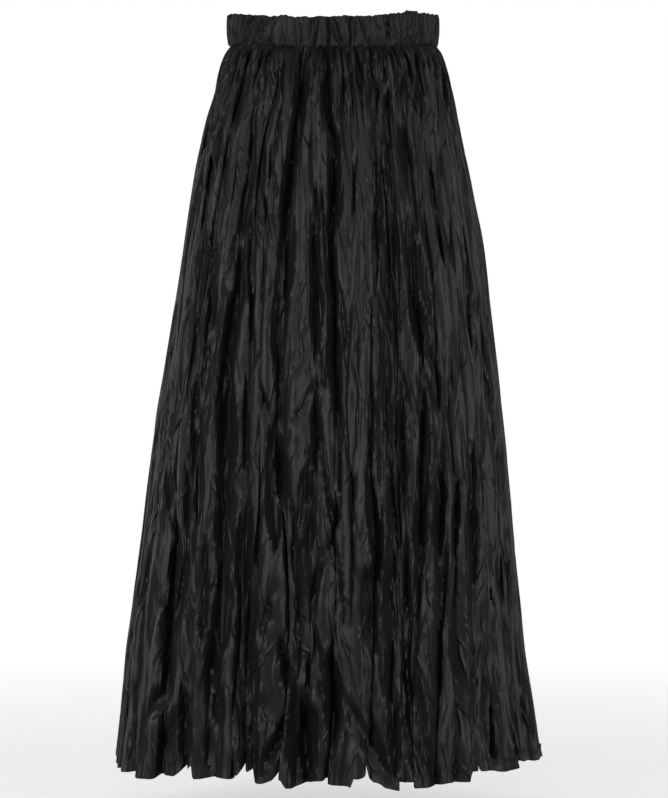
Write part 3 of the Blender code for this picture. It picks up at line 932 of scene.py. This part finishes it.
# Thin grooves: spacing across and along, turn in degrees, half width, depth, and the values
# of the patches' noise between which they come in.
Grooves = namedtuple("Grooves", "width length turn thin depth patches")
GROOVES = (
    Grooves(0.014, 0.110, 3.0, 0.0018, 0.0014, (0.40, 0.52)),
    Grooves(0.013, 0.050, 17.0, 0.0016, 0.0013, (0.55, 0.60)),
    Grooves(0.013, 0.050, -19.0, 0.0016, 0.0013, (0.45, 0.40)),
)


def add_node(tree, kind, inputs=(), **settings):
    """Add a shader node. inputs pairs each socket with a value or with what it is linked to."""
    node = tree.nodes.new("ShaderNode" + kind)
    for name, value in settings.items():
        setattr(node, name, value)
    for socket, value in inputs:
        if isinstance(value, bpy.types.NodeSocket):
            tree.links.new(value, node.inputs[socket])
        else:
            node.inputs[socket].default_value = value
    return node


def calculated(tree, operation, *values):
    """Work out a number from others, in the shader."""
    return add_node(tree, "Math", enumerate(values), operation=operation).outputs["Value"]


def difference(tree, first, second):
    """Take one vector from another, in the shader."""
    node = add_node(tree, "VectorMath", ((0, first), (1, second)), operation="SUBTRACT")
    return node.outputs["Vector"]


def stretched_noise(tree, cloth, size, detail):
    """Noise of the given size across and along the cloth."""
    scale = (1.0 / size[0], 1.0 / size[1], 1.0)
    mapping = add_node(tree, "Mapping", (("Vector", cloth), ("Scale", scale)))
    inputs = (("Vector", mapping.outputs["Vector"]), ("Scale", 1.0), ("Detail", detail))
    return add_node(tree, "TexNoise", inputs).outputs["Fac"]


def warped(tree, cloth):
    """The cloth's coordinates, bent a little so that no facet or groove is quite straight."""
    shift = add_node(tree, "TexNoise", (("Vector", cloth), ("Scale", 14.0), ("Detail", 1.0)))
    centred = difference(tree, shift.outputs["Color"], (0.5, 0.5, 0.5))
    inputs = ((0, centred), (1, (0.012, 0.012, 0.0)), (2, cloth))
    return add_node(tree, "VectorMath", inputs, operation="MULTIPLY_ADD").outputs["Vector"]


def cells(tree, place):
    """Divide the cloth into cells: each point's place in its cell, and the cell's colour."""
    inputs = (("Vector", place), ("Scale", 1.0))
    cell = add_node(tree, "TexVoronoi", inputs, voronoi_dimensions="2D")
    return difference(tree, place, cell.outputs["Position"]), cell.outputs["Color"]


def facets(tree, cloth, width, length):
    """Leaf-shaped cells, each a flat facet tilted its own way."""
    scale = (1.0 / width, 1.0 / length, 1.0)
    mapping = add_node(tree, "Mapping", (("Vector", cloth), ("Scale", scale)))
    place, colour = cells(tree, mapping.outputs["Vector"])
    inputs = ((0, place), (1, difference(tree, colour, (0.5, 0.5, 0.5))))
    return add_node(tree, "VectorMath", inputs, operation="DOT_PRODUCT").outputs["Value"]


def grooves(tree, cloth, patches, row):
    """Thin straight grooves, one in each long cell, that come and go."""
    rotation = (0.0, 0.0, math.radians(row.turn))
    inputs = (("Vector", cloth), ("Rotation", rotation), ("Scale", (row.width, row.length, 1.0)))
    mapping = add_node(tree, "Mapping", inputs, vector_type="TEXTURE")
    place, colour = cells(tree, mapping.outputs["Vector"])
    place = add_node(tree, "SeparateXYZ", (("Vector", place),))
    lot = add_node(tree, "SeparateColor", (("Color", colour),)).outputs["Red"]
    along = place.outputs["Y"]

    steepest = 0.35 * row.length / row.width
    lean = calculated(tree, "MULTIPLY", calculated(tree, "SUBTRACT", lot, 0.5), steepest)
    across = calculated(tree, "MULTIPLY", lean, along)
    across = calculated(tree, "ADD", place.outputs["X"], across)
    off = calculated(tree, "MULTIPLY", calculated(tree, "ABSOLUTE", across), row.width / row.thin)
    groove = calculated(tree, "MAXIMUM", calculated(tree, "SUBTRACT", 1.0, off), 0.0)

    taper = calculated(tree, "MULTIPLY", calculated(tree, "POWER", along, 2.0), 5.0)
    taper = calculated(tree, "MAXIMUM", calculated(tree, "SUBTRACT", 1.0, taper), 0.0)
    low, high = row.patches
    inputs = (("Value", patches), ("From Min", low), ("From Max", high))
    here = add_node(tree, "MapRange", inputs).outputs["Result"]
    return calculated(tree, "MULTIPLY", calculated(tree, "MULTIPLY", groove, taper), here)


def crumpled_normal(tree, cloth):
    """Bump the surface with facets, the finest crumple and thin grooves, one on the other."""
    bent = warped(tree, cloth)
    patches = stretched_noise(tree, cloth, PATCH_SIZE, 1.0)
    reliefs = [(facets(tree, bent, width, length), height) for width, length, height in FACETS]
    reliefs.append((stretched_noise(tree, cloth, CRUMPLE_SIZE, 5.0), CRUMPLE_HEIGHT))
    reliefs += [(grooves(tree, bent, patches, row), -row.depth) for row in GROOVES]
    before = ()
    for relief, height in reliefs:
        inputs = (("Height", relief), ("Strength", 1.0), ("Distance", abs(height)), *before)
        bump = add_node(tree, "Bump", inputs, invert=height < 0.0)
        before = (("Normal", bump.outputs["Normal"]),)
    return bump.outputs["Normal"]


def satin(name, colour, roughness):
    """Make crushed satin: dark, soft highlights, and small creases as bumps."""
    material = plain(name, colour, roughness)
    tree = material.node_tree
    shader = tree.nodes["Principled BSDF"]
    shader.inputs["Specular IOR Level"].default_value = 0.5
    shader.inputs["Sheen Weight"].default_value = 0.05
    shader.inputs["Sheen Roughness"].default_value = 0.4
    cloth = add_node(tree, "UVMap", uv_map="cloth").outputs["UV"]

    tint = add_node(tree, "Mix", (
        ("A", (*[c * 0.75 for c in colour], 1.0)),
        ("B", (*[c * 1.3 for c in colour], 1.0)),
        ("Factor", stretched_noise(tree, cloth, TINT_SIZE, 3.0)),
    ), data_type="RGBA")
    gloss = add_node(tree, "MapRange", (
        ("Value", stretched_noise(tree, cloth, GLOSS_SIZE, 3.0)),
        ("To Min", roughness - 0.06),
        ("To Max", roughness + 0.06),
    ))
    tree.links.new(tint.outputs["Result"], shader.inputs["Base Color"])
    tree.links.new(gloss.outputs["Result"], shader.inputs["Roughness"])
    tree.links.new(crumpled_normal(tree, cloth), shader.inputs["Normal"])
    return material


def plain(name, colour, roughness):
    """Make a material of one colour and roughness."""
    material = bpy.data.materials.new(name)
    material.use_nodes = True
    shader = material.node_tree.nodes["Principled BSDF"]
    shader.inputs["Base Color"].default_value = (*colour, 1.0)
    shader.inputs["Roughness"].default_value = roughness
    return material


# ---------------------------------------------------------------- stage
FLOOR_HEIGHT = -0.972
FLOOR_RADIUS = 2.4
FLOOR_PALE_RADIUS = 1.05
FLOOR_CORNERS = 64
FLOOR_GLOW = 0.62
# How brightly the white backdrop lights the skirt, against how it is seen.
STUDIO_AIR = 0.12
# Name, place, aim, size and power.
LIGHTS = (
    ("left_box", (-2.3, -2.3, 0.3), (0.0, 0.0, -0.45), (1.6, 2.0), 29.0),
    ("right_box", (2.3, -2.3, 0.1), (0.0, 0.0, -0.45), (1.6, 2.0), 24.5),
    ("front_box", (0.0, -3.0, 1.6), (0.0, 0.0, -0.45), (1.6, 1.0), 9.0),
    ("left_strip", (-2.0, 1.7, -0.1), (0.0, 0.0, -0.4), (0.20, 1.9), 5.0),
    ("right_strip", (2.0, 1.5, -0.1), (0.0, 0.0, -0.4), (0.14, 1.9), 3.2),
)


def make_camera():
    """Look level at the skirt from the front, as the photo does."""
    data = bpy.data.cameras.new("camera")
    data.sensor_width = 36.0
    data.lens = data.sensor_width * CAMERA_DISTANCE / PICTURE_HEIGHT
    camera = bpy.data.objects.new("camera", data)
    camera.location = (CAMERA_SIDE, -CAMERA_DISTANCE, CAMERA_HEIGHT)
    camera.rotation_euler = (math.radians(90), 0.0, 0.0)
    bpy.context.scene.collection.objects.link(camera)
    bpy.context.scene.camera = camera


def floor_material():
    """A pale floor that fades into the white backdrop."""
    material = plain("pale_floor", (0.9, 0.9, 0.9), 0.9)
    tree = material.node_tree
    shader = tree.nodes["Principled BSDF"]
    shader.inputs["Emission Color"].default_value = (1.0, 1.0, 1.0, 1.0)
    shader.inputs["Emission Strength"].default_value = FLOOR_GLOW
    place = add_node(tree, "TexCoord").outputs["Object"]
    distance = add_node(tree, "VectorMath", ((0, place),), operation="LENGTH").outputs["Value"]
    fade = add_node(tree, "MapRange", (
        ("Value", distance),
        ("From Min", FLOOR_PALE_RADIUS), ("From Max", FLOOR_RADIUS),
        ("To Min", 1.0), ("To Max", 0.0),
    ), interpolation_type="SMOOTHSTEP")
    tree.links.new(fade.outputs["Result"], shader.inputs["Alpha"])
    return material


def make_floor():
    """Make a round floor under the skirt; it takes shadows but does not light the cloth."""
    rim = [
        (FLOOR_RADIUS * math.cos(a), FLOOR_RADIUS * math.sin(a), FLOOR_HEIGHT)
        for a in np.linspace(0, math.tau, FLOOR_CORNERS, endpoint=False)
    ]
    wedges = [(0, k, k % FLOOR_CORNERS + 1) for k in range(1, FLOOR_CORNERS + 1)]
    mesh = bpy.data.meshes.new("floor")
    mesh.from_pydata([(0.0, 0.0, FLOOR_HEIGHT)] + rim, [], wedges)
    mesh.materials.append(floor_material())
    floor = bpy.data.objects.new("floor", mesh)
    bpy.context.scene.collection.objects.link(floor)
    floor.visible_diffuse = floor.visible_glossy = False


def make_backdrop():
    """Make the backdrop white to the eye, and only a dim light on the skirt."""
    world = bpy.data.worlds.new("studio")
    world.use_nodes = True
    tree = world.node_tree
    seen = add_node(tree, "LightPath").outputs["Is Camera Ray"]
    inputs = (("Value", seen), ("To Min", STUDIO_AIR), ("To Max", 1.0))
    strength = add_node(tree, "MapRange", inputs).outputs["Result"]
    background = tree.nodes["Background"]
    background.inputs["Color"].default_value = (1.0, 1.0, 1.0, 1.0)
    tree.links.new(strength, background.inputs["Strength"])
    bpy.context.scene.world = world


def area_light(name, place, target, size, power):
    """Add a soft box that faces the target."""
    data = bpy.data.lights.new(name, "AREA")
    data.shape = "RECTANGLE"
    data.size, data.size_y = size
    data.energy = power
    lamp = bpy.data.objects.new(name, data)
    lamp.location = place
    aim = Vector(target) - Vector(place)
    lamp.rotation_euler = aim.to_track_quat("-Z", "Y").to_euler()
    bpy.context.scene.collection.objects.link(lamp)


def main():
    bpy.context.scene.view_settings.view_transform = "Standard"
    make_camera()
    make_floor()
    make_backdrop()
    for light in LIGHTS:
        area_light(*light)

    cloth = satin("satin_cloth", SATIN_COLOUR, SATIN_ROUGHNESS)
    casing = satin("casing_cloth", CASING_COLOUR, CASING_ROUGHNESS)
    front = make_panel("front_panel_cloth", FRONT_FOLDS, True, 101, cloth)
    back = make_panel("back_panel_cloth", mirrored_folds(FRONT_FOLDS), False, 202, cloth)
    band = make_band(casing)
    for piece, node, slot in (
        (front, "front_panel", "satin"),
        (back, "back_panel", "satin"),
        (band, "waistband", "casing"),
    ):
        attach(piece, "root")
        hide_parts(node)


main()
